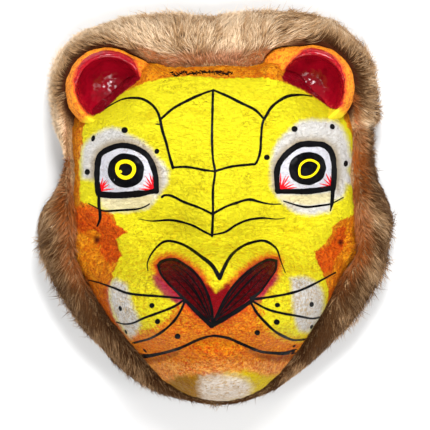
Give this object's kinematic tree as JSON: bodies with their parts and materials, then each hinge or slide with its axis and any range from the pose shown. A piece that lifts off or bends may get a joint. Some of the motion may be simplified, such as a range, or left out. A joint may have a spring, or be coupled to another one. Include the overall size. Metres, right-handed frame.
{
  "type": "tiger mask",
  "caption": "Hand-painted papier-mache big-cat face mask, a hollow shell with round cup ears, a broad muzzle and a fur ruff, lying on its rim.",
  "frame": {"origin": "on the surface that the mask lies on, under the middle of its box", "axes": "+Z the way the face looks, out of the surface; +Y towards the top of the head; +X to the right side of the mask as seen"},
  "size_m": [0.3114, 0.3409, 0.1452],
  "materials": {
    "painted_paper": "hand-painted papier-mache pulp, satin paint",
    "ear_paint": "glossy enamel over papier-mache",
    "fur": "long pile fur on a padded backing"
  },
  "bodies": {
    "root": {"mask_shell": "painted_paper", "ear_left": "ear_paint", "ear_right": "ear_paint", "fur_crown": "fur", "fur_side_left": "fur", "fur_side_right": "fur"}
  },
  "joints": []
}
